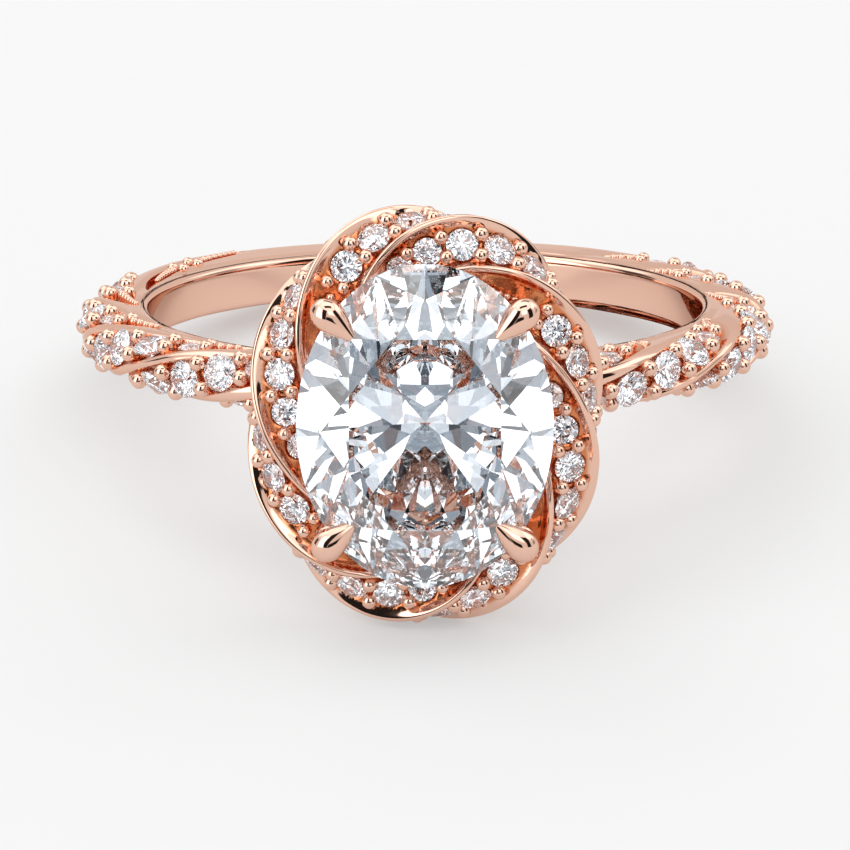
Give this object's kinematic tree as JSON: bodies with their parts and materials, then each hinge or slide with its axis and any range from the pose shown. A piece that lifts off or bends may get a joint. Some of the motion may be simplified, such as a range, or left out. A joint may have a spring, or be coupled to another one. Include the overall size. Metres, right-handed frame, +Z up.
{
  "type": "halo diamond ring",
  "caption": "Ring with an oval centre stone in a twisted oval halo, on a band of twisted ribs and small stones with a plain back.",
  "frame": {"origin": "middle of the bounding box's bottom, on the plane that the ring rests on", "axes": "the ring lies on its side: +Z up, +Y from the head towards the back of the band, +X to the band's right as seen from the head; the finger hole's axis leans 12.7 degrees from +Z towards +Y"},
  "size_m": [0.0206, 0.0256, 0.0114],
  "materials": {
    "rose_gold": "polished",
    "diamond": "polished"
  },
  "bodies": {
    "root": {"setting": "rose_gold", "centre_stone": "diamond", "halo_stones": "diamond", "left_band_stones": "diamond", "right_band_stones": "diamond"}
  },
  "joints": []
}
